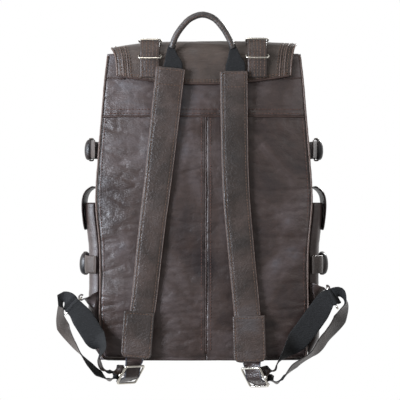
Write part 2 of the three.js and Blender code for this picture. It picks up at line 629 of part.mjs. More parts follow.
for (const [hand, { seam, middle, along, leaving, upper, lower }] of Object.entries(corners)) {
  const side = hand === "left" ? -1 : 1;
  const long = along.clone().normalize();
  const near = point(0, -1, 0).addScaledVector(long, long.y).normalize();
  const ringGroup = turnedGroup(middle, long, near, long.clone().cross(near));
  add(`corner_ring_${hand}`, wireFrame(RING_LENGTH, RING_DEPTH, WIRE / 2, 2.5), metal(), ringGroup);

  // The tab's end turns round the ring's upper short bar.
  const shortBar = middle.clone().addScaledVector(long, -(RING_LENGTH - WIRE) / 2);
  const outward = long.clone().cross(near).multiplyScalar(-side);
  const wrapRadius = WIRE / 2 + WRAP_CLEARANCE + ADJUSTER / 2;
  const wrap = [-100, -45, 10, 65, 120, 170].map((degrees) => {
    const angle = THREE.MathUtils.degToRad(degrees);
    const at = shortBar.clone().addScaledVector(outward, wrapRadius * Math.sin(angle))
      .addScaledVector(long, wrapRadius * Math.cos(angle));
    return [at, near, 6];
  });
  const halfway = seam.clone().lerp(wrap[0][0], 0.55);
  add(`corner_tab_${hand}`, strap([
    [seam, point(0, 0.15, 1), 29],
    [halfway, point(0, -0.6, 0.8), 17],
    ...wrap,
  ], ADJUSTER, 24), webbing());

  // The adjuster turns round the ring's near bar.
  const nearBar = middle.clone().addScaledVector(near, (RING_DEPTH - WIRE) / 2);
  const turn = [-20, 20, 60, 95].map((degrees) => {
    const angle = THREE.MathUtils.degToRad(degrees);
    const at = nearBar.clone().addScaledVector(near, wrapRadius * Math.cos(angle))
      .addScaledVector(outward, wrapRadius * Math.sin(angle));
    return [at, long, 25];
  });
  const clear = nearBar.clone().addScaledVector(outward, 10).add(point(0, 1, 0));
  const arriving = nearBar.clone().addScaledVector(outward, -8).addScaledVector(near, wrapRadius + 0.6);
  const { centre, across, down, outer } = shoulder[hand].buckle;
  const toward = down.clone().cross(across);
  const behind = (sideways, s, lift) => centre.clone().addScaledVector(across, outer * sideways)
    .addScaledVector(down, s).addScaledVector(toward, lift);
  const station = ([x, y, z, wayX, wayY, wayZ, width]) => [point(x, y, z), point(wayX, wayY, wayZ), width];
  const route = [
    [behind(8, -4, -8), down.clone().negate(), 15],
    ...upper.map(station).reverse(),
    [arriving, long, 26],
    ...turn,
    [clear, leaving, 26],
    ...lower.map(station),
    [behind(8.6, 7.6, -12.2), down.clone().negate(), 15],
  ];
  const gathered = route.map(([at, way, width]) => [at, way, width * GATHERED]);
  add(`adjuster_strap_${hand}`, strap(gathered, ADJUSTER, 130), webbing());
}

const backpack = new THREE.Group();
bag.position.set(0, -HOOK_DEPTH, -HOOK_HEIGHT);
backpack.add(bag);
backpack.updateMatrixWorld(true);

export default backpack;
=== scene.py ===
"""Looks of the leather backpack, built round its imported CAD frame.

Lengths are millimetres in the bag's own frame (zero is the middle of the base's underside,
straps on the -Y side) until row() moves a point to the row frame in metres.
"""
import math

import bmesh
import bpy
import numpy as np
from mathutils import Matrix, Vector, noise


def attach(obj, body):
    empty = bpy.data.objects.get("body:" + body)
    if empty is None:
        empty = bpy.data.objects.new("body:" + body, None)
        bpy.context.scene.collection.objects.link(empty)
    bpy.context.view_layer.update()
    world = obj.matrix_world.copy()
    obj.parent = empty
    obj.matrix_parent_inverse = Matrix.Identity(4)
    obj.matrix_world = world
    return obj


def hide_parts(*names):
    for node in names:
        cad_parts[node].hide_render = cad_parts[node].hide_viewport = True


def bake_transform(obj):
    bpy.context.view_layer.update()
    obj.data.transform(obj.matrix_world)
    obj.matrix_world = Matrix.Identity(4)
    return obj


# ---- driving dimensions
BAG_ZERO = Vector((0, 78, -475))  # the bag's zero in the row frame
RIM = 427
FRONT_RIM = 420
YOKE_SEAM = 340
CENTRE_SEAM = 3
CORNER_TURN = 8
GUSSET_BULGE = 4
WALL = 3
LEATHER = 2.4
FLAP_SPANS = 13
RIDGE = 5 / FLAP_SPANS
FLAP_FRONT = 9 / FLAP_SPANS
HANDS = {"left": -1, "right": 1}
BACK_EDGE = 200  # further out than the back ever reaches
FLAP_SEAM_RISE = 12  # the flap's seam climbs this far towards its ends
FLAP_FIRST_SPAN = 17  # length of the flap's curve from its seam to the next station
DROOP_LEFT = 10
DROOP_RIGHT = 4
FLAP_STRAP = 27
STRAP_THICKNESS = 4.6
STRAP_DEPTH = -79.2  # middle of the shoulder straps' lower ends
PATCH_FACE = STRAP_DEPTH - 2.3 - 0.8  # the patches lie on this plane
TONGUE = 25
TONGUE_TOP = 7
WIRE = 2.6
BUCKLE_WIRE = 3.6
BUCKLE_LENGTH = 38
RING_LENGTH = 36
RING_DEPTH = 13
WRAP_RADIUS = 3.7  # from a ring's bar to the middle of the strap that turns round it
STITCH = 4.4  # length of one stitch with its gap
UNDERSIDE = 6  # how far the filled bag sags below its board


# ---- curves and profiles
def row(point):
    """A point of the bag's frame, in the row frame."""
    return (Vector(point) + BAG_ZERO) * 0.001


def profile(stations):
    """A smooth curve through (place, value) stations."""
    places = np.array([place for place, _ in stations], float)
    values = np.array([value for _, value in stations], float)
    slopes = np.gradient(values, places)

    def at(place):
        index = int(np.clip(np.searchsorted(places, place) - 1, 0, len(places) - 2))
        span = places[index + 1] - places[index]
        t = (place - places[index]) / span
        t = min(1.0, max(0.0, t))
        rise = (2 * t**3 - 3 * t**2 + 1) * values[index] + (3 * t**2 - 2 * t**3) * values[index + 1]
        bend = (t**3 - 2 * t**2 + t) * slopes[index] + (t**3 - t**2) * slopes[index + 1]
        return float(rise + bend * span)

    return at


half_width = profile([(0, 146), (60, 148), (108, 147), (150, 147.5), (220, 153), (276, 150),
                      (340, 145), (395, 140.5), (427, 137)])
back_depth = profile([(0, 70), (100, 75), (200, 76), (300, 73), (395, 66), (427, 62)])
front_depth = profile([(0, 68), (100, 74), (200, 74), (300, 68), (380, 56), (427, 46)])


def catmull(points, knot_power=0.0):
    """A curve through points, and its direction, both against t from 0 to 1."""
    points = [Vector(p) for p in points]
    spans = len(points) - 1
    ends = [points[0] * 2 - points[1]] + points + [points[-1] * 2 - points[-2]]

    def knots(index):
        a, b, c, d = ends[index:index + 4]
        gaps = [max((q - p).length, 1e-4) ** knot_power for p, q in ((a, b), (b, c), (c, d))]
        out = (b - a) / gaps[0] - (c - a) / (gaps[0] + gaps[1]) + (c - b) / gaps[1]
        into = (c - b) / gaps[1] - (d - b) / (gaps[1] + gaps[2]) + (d - c) / gaps[2]
        return b, c, out * gaps[1], into * gaps[1]

    table = [knots(index) for index in range(spans)]

    def at(t):
        scaled = min(max(t, 0.0), 1.0) * spans
        index = min(int(scaled), spans - 1)
        s = scaled - index
        b, c, out, into = table[index]
        place = b * (2 * s**3 - 3 * s**2 + 1) + c * (3 * s**2 - 2 * s**3)
        return place + out * (s**3 - 2 * s**2 + s) + into * (s**3 - s**2)

    def along(t):
        step = 0.002
        return (at(min(t + step, 1)) - at(max(t - step, 0))).normalized()

    return at, along


# ---- surfaces of the bag
def cross_turn(x, z):
    """How far back and front turn in towards their side edges."""
    return CORNER_TURN * (x / half_width(z)) ** 4


def back_face(x, z, lift=0.0):
    return Vector((x, cross_turn(x, z) - back_depth(z) - lift, z))


def front_face(x, z, lift=0.0):
    return Vector((x, front_depth(z) - cross_turn(x, z) + lift, z))


def side_face(side, y, z, lift=0.0):
    back, front = CORNER_TURN - back_depth(z), front_depth(z) - CORNER_TURN
    t = min(1.0, max(0.0, (y - back) / (front - back)))
    return Vector((side * (half_width(z) - 0.2 + GUSSET_BULGE * math.sin(math.pi * t) + lift), y, z))


flap_at, flap_along = catmull([(0, y, z) for y, z in [
    (-70.4, 383), (-70.8, 400), (-69.6, 416), (-66, 431), (-57, 441.5), (-43, 446.5), (-15, 448),
    (20, 447), (48, 440), (63, 423), (69.5, 395), (75.5, 355), (79.5, 315), (81.5, 272)]], 0.0)
flap_reach = profile([(0, 121), (0.2, 124), (RIDGE, 131), (FLAP_FRONT, 132), (1, 128)])


def on_flap(x, t, lift=0.0):
    """A place on the flap's outer face: x across, t from its back seam to its front edge."""
    at, along = flap_at(t), flap_along(t)
    backness = min(1.0, max(0.0, 1 - t / RIDGE))
    droop = DROOP_LEFT if x < 0 else DROOP_RIGHT
    topness = math.sin(math.pi * min(1.0, t / FLAP_FRONT)) ** 2
    y = at.y + cross_turn(x, RIM) * backness - lift * along.z
    z = at.z - droop * abs(x / flap_reach(RIDGE)) ** 3 * topness + lift * along.y
    return Vector((x, y, z))


def flap_seam(x):
    """Where the flap starts along its curve, against the place across."""
    return FLAP_SEAM_RISE / FLAP_FIRST_SPAN * (x / flap_reach(0)) ** 2 / FLAP_SPANS


# ---- relief
def hills(x, z, wide, high, seed):
    """Soft undulation, about -1 to 1."""
    return noise.noise(Vector((x / wide + seed, z / high, seed * 0.37)))


def creases(x, z, wide, high, seed):
    """Narrow valleys, 0 to 1, where the leather has folded."""
    ridge = 1 - abs(noise.noise(Vector((x / wide, z / high + seed, seed * 1.7))))
    return max(0.0, ridge) ** 9


def worn(x, z, seed, deep=1.0):
    """The relief of soft leather that has hung and been filled."""
    swell = 1.0 * hills(x, z, 75, 60, seed) + 0.22 * hills(x, z, 28, 20, seed + 5)
    fold = 0.4 * creases(x, z, 60, 17, seed + 9) + 0.16 * creases(x, z, 18, 8, seed + 3)
    return deep * (swell - fold)


def rolled(distance, radius):
    """How far a rounded edge falls at a distance from the rim."""
    if distance >= radius:
        return 0.0
    return radius - math.sqrt(max(0.0, radius**2 - (radius - distance) ** 2))


# ---- mesh makers
def linked(name, data):
    """A new object in the scene."""
    thing = bpy.data.objects.new(name, data)
    bpy.context.scene.collection.objects.link(thing)
    return thing


def piece(name, vertices, faces, finish):
    """A smooth shaded mesh object from bag millimetres."""
    mesh = bpy.data.meshes.new(name)
    mesh.from_pydata([row(v) for v in vertices], [], faces)
    work = bmesh.new()
    work.from_mesh(mesh)
    bmesh.ops.recalc_face_normals(work, faces=work.faces)
    work.to_mesh(mesh)
    work.free()
    mesh.polygons.foreach_set("use_smooth", [True] * len(mesh.polygons))
    mesh.materials.append(finish)
    thing = linked(name, mesh)
    return thing


def settle(thing, body, slot, *nodes, bend=None):
    """Puts a piece on its body (a piece that would bend between two bodies is only left where it is), and
    hides the CAD nodes it stands for.
    """
    if bend:
        row(bend[1])
        row(bend[2])
        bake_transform(thing)
    else:
        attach(thing, body)
    if nodes:
        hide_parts(*nodes)
    return thing


def band(here, there, around):
    """Faces between two rings of vertices that start at here and there."""
    return [(here + k, here + (k + 1) % around, there + (k + 1) % around, there + k) for k in range(around)]


def grid_faces(columns, rows, offset=0):
    """Faces of a grid of vertices, row after row."""
    wide = columns + 1
    return [(offset + j * wide + i, offset + j * wide + i + 1, offset + (j + 1) * wide + i + 1,
             offset + (j + 1) * wide + i) for j in range(rows) for i in range(columns)]


def shell(name, place, columns, rows, thickness, finish, relief=lambda u, v: 0.0):
    """A sheet of leather: place(u, v, lift), raised by relief(u, v) on its outer face."""
    outer, inner = [], []
    for j in range(rows + 1):
        for i in range(columns + 1):
            u, v = i / columns, j / rows
            raised = relief(u, v)
            outer.append(place(u, v, raised))
            inner.append(place(u, v, -thickness))
    count = len(outer)
    faces = grid_faces(columns, rows) + grid_faces(columns, rows, count)
    wide = columns + 1
    rim = [j * wide for j in range(rows + 1)]
    rim += [rows * wide + i for i in range(1, columns + 1)]
    rim += [j * wide + columns for j in range(rows - 1, -1, -1)]
    rim += [i for i in range(columns - 1, 0, -1)]
    faces += [(a, b, b + count, a + count) for a, b in zip(rim, rim[1:] + rim[:1])]
    return piece(name, outer + inner, faces, finish)


def tube(name, points, radius, finish, sides=8, closed=False, swell=None):
    """A round cord along points, whose radius may vary."""
    points = [Vector(p) for p in points]
    vertices, faces = [], []
    last = len(points) - 1
    guide = None
    for index, at in enumerate(points):
        ahead = points[(index + 1) % len(points)] if closed else points[min(index + 1, last)]
        behind = points[index - 1] if closed or index else points[0]
        along = (ahead - behind).normalized()
        if guide is None:
            guide = along.orthogonal().normalized()
        guide = (guide - along * guide.dot(along)).normalized()
        other = along.cross(guide)
        size = radius * (swell(index / last) if swell else 1)
        for k in range(sides):
            turn = 2 * math.pi * k / sides
            vertices.append(at + guide * (size * math.cos(turn)) + other * (size * math.sin(turn)))
    rings = len(points)
    for index in range(rings if closed else rings - 1):
        faces += band(index * sides, ((index + 1) % rings) * sides, sides)
    if not closed:
        faces += [tuple(range(sides)), tuple(range((rings - 1) * sides, rings * sides))]
    return piece(name, vertices, faces, finish)


def evenly(points, pitch):
    """Places and directions at equal steps along a dense line of points."""
    points = [Vector(p) for p in points]
    lengths = [0.0]
    for a, b in zip(points, points[1:]):
        lengths.append(lengths[-1] + (b - a).length)
    count = max(1, int(lengths[-1] / pitch))
    places, index = [], 0
    for step in range(count):
        target = (step + 0.5) * lengths[-1] / count
        while lengths[index + 1] < target:
            index += 1
        share = (target - lengths[index]) / max(1e-6, lengths[index + 1] - lengths[index])
        along = (points[index + 1] - points[index]).normalized()
        places.append((points[index].lerp(points[index + 1], share), along))
    return places


def stitches(name, lines, finish, length=3.0, radius=0.42):
    """Rows of thread along lines of points that lie on the leather."""
    vertices, faces = [], []
    sides, rings = 6, [(-0.5, 0.35), (-0.3, 0.95), (0.3, 0.95), (0.5, 0.35)]
    for line in lines:
        for at, along in evenly(line, STITCH):
            guide = along.orthogonal().normalized()
            other = along.cross(guide)
            base = len(vertices)
            for reach, size in rings:
                for k in range(sides):
                    turn = 2 * math.pi * k / sides
                    vertices.append(at + along * (reach * length) + guide * (size * radius * math.cos(turn))
                                    + other * (size * radius * math.sin(turn)))
            for ring in range(len(rings) - 1):
                faces += band(base + ring * sides, base + (ring + 1) * sides, sides)
            far = base + (len(rings) - 1) * sides
            faces += [tuple(range(base, base + sides)), tuple(range(far, far + sides))]
    return piece(name, vertices, faces, finish)


class Ribbon:
    """A flat strap along stations of (centre, direction across, width)."""

    def __init__(self, stations, outer=1.0):
        self.at, self.tangent = catmull([s[0] for s in stations], 0.5)
        self.ways = [Vector(s[1]).normalized() for s in stations]
        self.widths = [s[2] for s in stations]
        self.outer = outer
        dense = [self.at(k / 200) for k in range(201)]
        self.length = sum((b - a).length for a, b in zip(dense, dense[1:]))

    def frame(self, t):
        scaled = min(max(t, 0.0), 1.0) * (len(self.ways) - 1)
        index = min(int(scaled), len(self.ways) - 2)
        share = scaled - index
        across = self.ways[index].lerp(self.ways[index + 1], share)
        width = self.widths[index] * (1 - share) + self.widths[index + 1] * share
        along = self.tangent(t)
        across = (across - along * across.dot(along)).normalized()
        return self.at(t), across, along.cross(across) * self.outer, width

    def place(self, s, t, lift):
        """s runs -1 to 1 across, lift stands off the strap's middle."""
        centre, across, out, width = self.frame(t)
        return centre + across * (s * width / 2) + out * lift

    def line(self, s, lift, start=0.0, end=1.0, inset=None):
        """Points along the strap at s across, or at a fixed inset from its edge."""
        points = []
        for k in range(161):
            t = start + (end - start) * k / 160
            width = self.frame(t)[3]
            where = s if inset is None else math.copysign(1 - 2 * inset / width, s)
            points.append(self.place(where, t, lift))
        return points

    def body(self, name, thickness, finish, dome=0.0, groove=0.0, wear=0.0, step=2.6, columns=18, seed=3.1):
        """A closed strap with rounded edges, domed and grooved along its stitching."""
        steps = max(8, int(self.length / step))
        around = [-math.cos(math.pi * k / columns) for k in range(columns + 1)]
        half = thickness / 2
        vertices = []
        for j in range(steps + 1):
            t = j / steps
            centre, across, out, width = self.frame(t)
            for side in (1, -1):
                for s in (around if side == 1 else around[::-1][1:-1]):
                    edge = (1 - abs(s) ** 14) ** 0.5 if abs(s) < 1 else 0.0
                    lift = half * edge
                    if side == 1:
                        lift += dome * (1 - s * s)
                        inset = (1 - abs(s)) * width / 2
                        lift -= groove * math.exp(-((inset - 3.6) / 1.1) ** 2)
                        lift += wear * worn(s * width / 2 + seed * 50, t * self.length, seed) * edge * 0.5
                    vertices.append(centre + across * (s * width / 2) + out * (lift * side))
        ring = columns + 1 + columns - 1
        faces = []
        for j in range(steps):
            faces += band(j * ring, (j + 1) * ring, ring)
        faces += [tuple(range(ring)), tuple(range(steps * ring, (steps + 1) * ring))]
        return piece(name, vertices, faces, finish)


def smooth_copy(node, name, finish, levels=2, swell=0.0, wear=0.0, seed=1.0):
    """A rounded copy of a CAD node, its faces a little raised and worn."""
    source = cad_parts[node]
    mesh = source.data.copy()
    mesh.name = name
    mesh.transform(source.matrix_world)
    mesh.materials.clear()
    mesh.materials.append(finish)
    thing = linked(name, mesh)
    work = bmesh.new()
    work.from_mesh(mesh)
    bmesh.ops.remove_doubles(work, verts=work.verts, dist=1e-5)
    bmesh.ops.join_triangles(work, faces=work.faces, angle_face_threshold=0.7, angle_shape_threshold=3.1)
    work.to_mesh(mesh)
    work.free()
    if levels:
        round_off = thing.modifiers.new("round", "SUBSURF")
        round_off.levels = round_off.render_levels = levels
        bpy.context.view_layer.update()
        made = bpy.data.meshes.new_from_object(thing.evaluated_get(bpy.context.evaluated_depsgraph_get()))
        thing.modifiers.clear()
        thing.data = made
        made.name = name
    mesh = thing.data
    if swell or wear:
        normals = [Vector(v.normal) for v in mesh.vertices]
        for vertex, normal in zip(mesh.vertices, normals):
            place = vertex.co * 1000
            lift = swell + wear * worn(place.x + place.y, place.z, seed)
            vertex.co += normal * (lift * 0.001)
    mesh.polygons.foreach_set("use_smooth", [True] * len(mesh.polygons))
    return thing


# ---- materials
def shader(name, roughness, metallic=0.0):
    """A principled material, and the two ends of its node tree."""
    material = bpy.data.materials.new(name)
    material.use_nodes = True
    surface = material.node_tree.nodes["Principled BSDF"]
    surface.inputs["Roughness"].default_value = roughness
    surface.inputs["Metallic"].default_value = metallic
    return material, material.node_tree, surface


def texture(tree, kind, scale, stretch=(1, 1, 1), **settings):
    """A noise or cell texture in the piece's own coordinates."""
    where = tree.nodes.new("ShaderNodeTexCoord")
    mapping = tree.nodes.new("ShaderNodeMapping")
    mapping.inputs["Scale"].default_value = stretch
    pattern = tree.nodes.new(kind)
    pattern.inputs["Scale"].default_value = scale
    for key, value in settings.items():
        pattern.inputs[key].default_value = value
    tree.links.new(where.outputs["Object"], mapping.inputs["Vector"])
    tree.links.new(mapping.outputs["Vector"], pattern.inputs["Vector"])
    return pattern


def ramp(tree, source, stops):
    """Colours against a texture's value."""
    bands = tree.nodes.new("ShaderNodeValToRGB")
    while len(bands.color_ramp.elements) < len(stops):
        bands.color_ramp.elements.new(0.5)
    for element, (place, colour) in zip(bands.color_ramp.elements, stops):
        element.position = place
        element.color = (*colour, 1)
    tree.links.new(source, bands.inputs["Fac"])
    return bands


def relief_nodes(tree, surface, layers):
    """Bumps in turn: (texture output, strength, distance)."""
    previous = None
    for source, strength, distance in layers:
        bump = tree.nodes.new("ShaderNodeBump")
        bump.inputs["Strength"].default_value = strength
        bump.inputs["Distance"].default_value = distance
        tree.links.new(source, bump.inputs["Height"])
        if previous:
            tree.links.new(previous.outputs["Normal"], bump.inputs["Normal"])
        previous = bump
    tree.links.new(previous.outputs["Normal"], surface.inputs["Normal"])


def leather(name, dark, middle, pale, roughness=0.4, cloud=8.0, grain=1.0):
    """Waxed pull-up leather: cloudy colour with painted bluish-grey sheen in its palest patches, fine grain
    and dull and shiny patches.
    """
    material, tree, surface = shader(name, roughness)
    clouds = texture(tree, "ShaderNodeTexNoise", cloud, Detail=7.0, Roughness=0.62, Distortion=0.5)
    # The pale colour is painted sheen: bluish-grey patches that stand in for reflection of the bright room.
    # Dark, middle and warm tan are the leather's own mottling; the warm tan is mixed half from the painted
    # sheen.
    warm = tuple(0.5 * a + 0.5 * b + c for a, b, c in zip(middle, pale, (0.008, 0.001, -0.002)))
    colour = ramp(tree, clouds.outputs["Fac"], [(0.32, dark), (0.46, middle), (0.57, warm), (0.68, pale)])
    flecks = texture(tree, "ShaderNodeTexNoise", cloud * 9, (1, 1, 2.2), Detail=6.0, Roughness=0.7)
    shade = ramp(tree, flecks.outputs["Fac"], [(0.3, (0.62, 0.6, 0.6)), (0.62, (1.12, 1.1, 1.1))])
    blend = tree.nodes.new("ShaderNodeMix")
    blend.data_type = "RGBA"
    blend.blend_type = "MULTIPLY"
    blend.inputs["Factor"].default_value = 0.75
    tree.links.new(colour.outputs["Color"], blend.inputs[6])
    tree.links.new(shade.outputs["Color"], blend.inputs[7])
    tree.links.new(blend.outputs[2], surface.inputs["Base Color"])
    shine = texture(tree, "ShaderNodeTexNoise", cloud * 1.6, Detail=4.0)
    dull = ramp(tree, shine.outputs["Fac"], [(0.3, (roughness + 0.14,) * 3), (0.7, (roughness - 0.06,) * 3)])
    tree.links.new(dull.outputs["Color"], surface.inputs["Roughness"])
    pores = texture(tree, "ShaderNodeTexVoronoi", 330, (1, 1, 1.6))
    wrinkles = texture(tree, "ShaderNodeTexNoise", 170, (0.6, 0.6, 1.8), Detail=5.0, Roughness=0.65)
    slack = texture(tree, "ShaderNodeTexNoise", 30, (0.8, 0.8, 1.4), Detail=2.0)
    relief_nodes(tree, surface, [
        (slack.outputs["Fac"], 0.3 * grain, 0.003),
        (wrinkles.outputs["Fac"], 0.45 * grain, 0.0012),
        (pores.outputs["Distance"], 0.4 * grain, 0.0009),
    ])
    return material


def webbing(name, colour):
    """Woven webbing: fine ribs across its length."""
    material, tree, surface = shader(name, 0.85)
    ribs = texture(tree, "ShaderNodeTexNoise", 260, (1, 1, 3.0), Detail=2.0)
    stops = [(0.35, [c * 0.55 for c in colour]), (0.65, [c * 1.5 for c in colour])]
    colours = ramp(tree, ribs.outputs["Fac"], stops)
    tree.links.new(colours.outputs["Color"], surface.inputs["Base Color"])
    relief_nodes(tree, surface, [(ribs.outputs["Fac"], 0.9, 0.0012)])
    return material


def metal(name, colour, roughness=0.16):
    """Polished pale plating, faintly scuffed."""
    material, tree, surface = shader(name, roughness, 1.0)
    scuffs = texture(tree, "ShaderNodeTexNoise", 90, Detail=4.0)
    colours = ramp(tree, scuffs.outputs["Fac"], [(0.3, [c * 0.82 for c in colour]), (0.6, colour)])
    tree.links.new(colours.outputs["Color"], surface.inputs["Base Color"])
    relief_nodes(tree, surface, [(scuffs.outputs["Fac"], 0.08, 0.0006)])
    return material


def plain(name, colour, roughness=0.9, scale=500):
    """Cloth, thread, board or foam: one colour with a fine tooth."""
    material, tree, surface = shader(name, roughness)
    tooth = texture(tree, "ShaderNodeTexNoise", scale, Detail=2.0)
    stops = [(0.3, [c * 0.75 for c in colour]), (0.7, [c * 1.15 for c in colour])]
    colours = ramp(tree, tooth.outputs["Fac"], stops)
    tree.links.new(colours.outputs["Color"], surface.inputs["Base Color"])
    relief_nodes(tree, surface, [(tooth.outputs["Fac"], 0.3, 0.0005)])
    return material


# ---- pieces
def clearance(x, z):
    """How far the back may swell: little under the shoulder straps, more between them."""
    under = {"left": -46 - (407 - z) * 0.119, "right": 41 + max(0.0, 300 - z) * 0.07}
    nearest = min(abs(x - middle) for middle in under.values())
    return 0.3 + 1.9 * min(1.0, max(0.0, (nearest - 24) / 16))


def body_panels():
    """The back in two halves and a yoke, the sides, the front and the base."""
    def back(left, right, low, high, seed, lip):
        def place(u, v, lift):
            z = low + (high - low) * v
            reach = half_width(z)
            a, b = max(left, -reach), min(right, reach)
            return back_face(a + (b - a) * u, z, lift)

        def relief(u, v):
            at = place(u, v, 0)
            from_yoke = abs(YOKE_SEAM - at.z)
            pucker = 0.9 * hills(at.x, at.z, 6.5, 60, seed) * math.exp(-from_yoke / 15)
            pucker += 0.45 * hills(at.z, at.x, 8, 60, seed) * math.exp(-abs(at.x - CENTRE_SEAM) / 9)
            edge = rolled(min(u, 1 - u) * (min(right, 150) - max(left, -150)), 1.6)
            edge += rolled(min(v, 1 - v) * (high - low), 1.2)
            raised = 1.3 * math.exp(-max(0.0, at.z - low) / 9) if lip else 0.0
            slack = max(-2.4, min(clearance(at.x, at.z), -0.3 + 2.6 * worn(at.x, at.z, seed)))
            under = rolled(at.z + UNDERSIDE, 11) + 1.2 * rolled(half_width(at.z) - abs(at.x), 5)
            return slack + pucker * 0.7 - edge + raised - under

        return place, relief

    halves = {"left": (-BACK_EDGE, CENTRE_SEAM - 0.4, -UNDERSIDE, 339.6, 2.3, False),
              "right": (CENTRE_SEAM, BACK_EDGE, -UNDERSIDE, 339.6, 7.7, False)}
    for hand, extent in halves.items():
        place, relief = back(*extent)
        skin = shell(f"back_leather_{hand}", place, 76, 170, WALL, BROWN, relief)
        settle(skin, "root", "leather", f"back_panel_{hand}")
    place, relief = back(-BACK_EDGE, BACK_EDGE, YOKE_SEAM - 2.5, RIM, 4.9, True)
    settle(shell("yoke_leather", place, 150, 44, WALL, BROWN, relief), "root", "leather", "back_yoke")

    def front(u, v, lift):
        z = -UNDERSIDE + (FRONT_RIM + UNDERSIDE) * v
        return front_face((2 * u - 1) * half_width(z), z, lift)

    def front_relief(u, v):
        at = front(u, v, 0)
        return min(0.3, -0.8 + worn(at.x, at.z, 11.3, 1.4)) - rolled(at.z + UNDERSIDE, 11)

    skin = shell("front_leather", front, 90, 120, WALL, BROWN, front_relief)
    settle(skin, "root", "leather", "front_panel")
    for hand, side in HANDS.items():
        def gusset(u, v, lift, side=side):
            z = -UNDERSIDE + (RIM + UNDERSIDE) * v
            back_y, front_y = CORNER_TURN - back_depth(z) + 3.4, front_depth(z) - CORNER_TURN - 3.4
            return side_face(side, back_y + (front_y - back_y) * u, z, lift)

        def side_relief(u, v, side=side):
            at = gusset(u, v, 0)
            return min(0.3, -0.8 + worn(at.y, at.z, 14.1 + side, 1.4)) - rolled(at.z + UNDERSIDE, 11)

        settle(shell(f"gusset_leather_{hand}", gusset, 44, 120, WALL, BROWN, side_relief),
               "root", "leather", f"gusset_{hand}")

    def base(u, v, lift):
        x, y = (2 * u - 1) * 141, (2 * v - 1) * 65
        sag = 1.6 * (1 - (2 * u - 1) ** 2) * (1 - (2 * v - 1) ** 2)
        return Vector((x, y, -UNDERSIDE - sag - lift))

    def base_relief(u, v):
        inset = min(min(u, 1 - u) * 282, min(v, 1 - v) * 130)
        return 0.8 - rolled(inset, 6) + 0.5 * worn(u * 282, v * 130, 17.3)

    # The base is drawn in darker leather as painted shade: it looks darker only because it faces down, away
    # from the lamps.
    skin = shell("base_leather", base, 90, 44, 2.0, SHADED_BASE_LEATHER, base_relief)
    settle(skin, "root", "leather", "base_panel")


def body_seams():
    """Piping down the edges, the centre seam and the thread beside them."""
    heights = [-4 + 431 * k / 140 for k in range(141)]

    def wobble(t):
        return 1 + 0.2 * noise.noise(Vector((t * 60, 1.5, 0)))

    for hand, side in HANDS.items():
        def edge_line(face, top, side=side):
            line = []
            for z in heights:
                if z < top:
                    tuck = rolled(z + UNDERSIDE, 12)
                    line.append(face(side * (half_width(z) - 1.2 - tuck * 0.7), z, 0.1 - tuck))
            return line

        settle(tube(f"back_piping_{hand}", edge_line(back_face, RIM), 1.3, EDGE, 8, swell=wobble),
               "root", "leather")
        settle(tube(f"front_piping_{hand}", edge_line(front_face, FRONT_RIM), 1.5, PIPING, 8, swell=wobble),
               "root", "leather")
    for hand, side in HANDS.items():
        seam = [back_face(side * x, 391 + 0.06 * (x - 118), 0.25) for x in np.linspace(112, 138, 20)]
        settle(tube(f"yoke_top_seam_{hand}", seam, 0.9, PIPING, 6), "root", "leather")

    seam = [back_face(CENTRE_SEAM - 0.2 + 0.5 * hills(z, 0, 40, 1, 2.0), z, -0.9)
            for z in np.linspace(4, 338, 90)]
    settle(tube("centre_seam_fold", seam, 1.0, PIPING, 8), "root", "leather")
    levels = np.linspace(8, 336, 200)
    lines = [[back_face(CENTRE_SEAM + offset, z, 0.12) for z in levels] for offset in (-6.5, 6.2)]
    lines += [[back_face(side * (half_width(z) - 6.5), z, 0.0) for z in levels] for side in (-1, 1)]
    across = np.linspace(-138, 138, 300)
    for rise, lift in ((1.6, 1.15), (7.4, 0.55)):
        lines.append([back_face(x, YOKE_SEAM + rise, lift) for x in across])
    settle(stitches("body_stitching", lines, RED_THREAD), "root", "leather")
    lip = [back_face(x, YOKE_SEAM - 2.6 + 0.3 * hills(x, 0, 12, 1, 3.0), 0.4)
           for x in np.linspace(-142, 142, 220)]
    settle(tube("yoke_edge", lip, 1.15, PIPING, 8), "root", "leather")


# The lid's body, and the two places on the ridge between which leather bends from the bag to it.
LID_BEND = ("flap_lid", (0, -52, 447), (0, -34, 447))


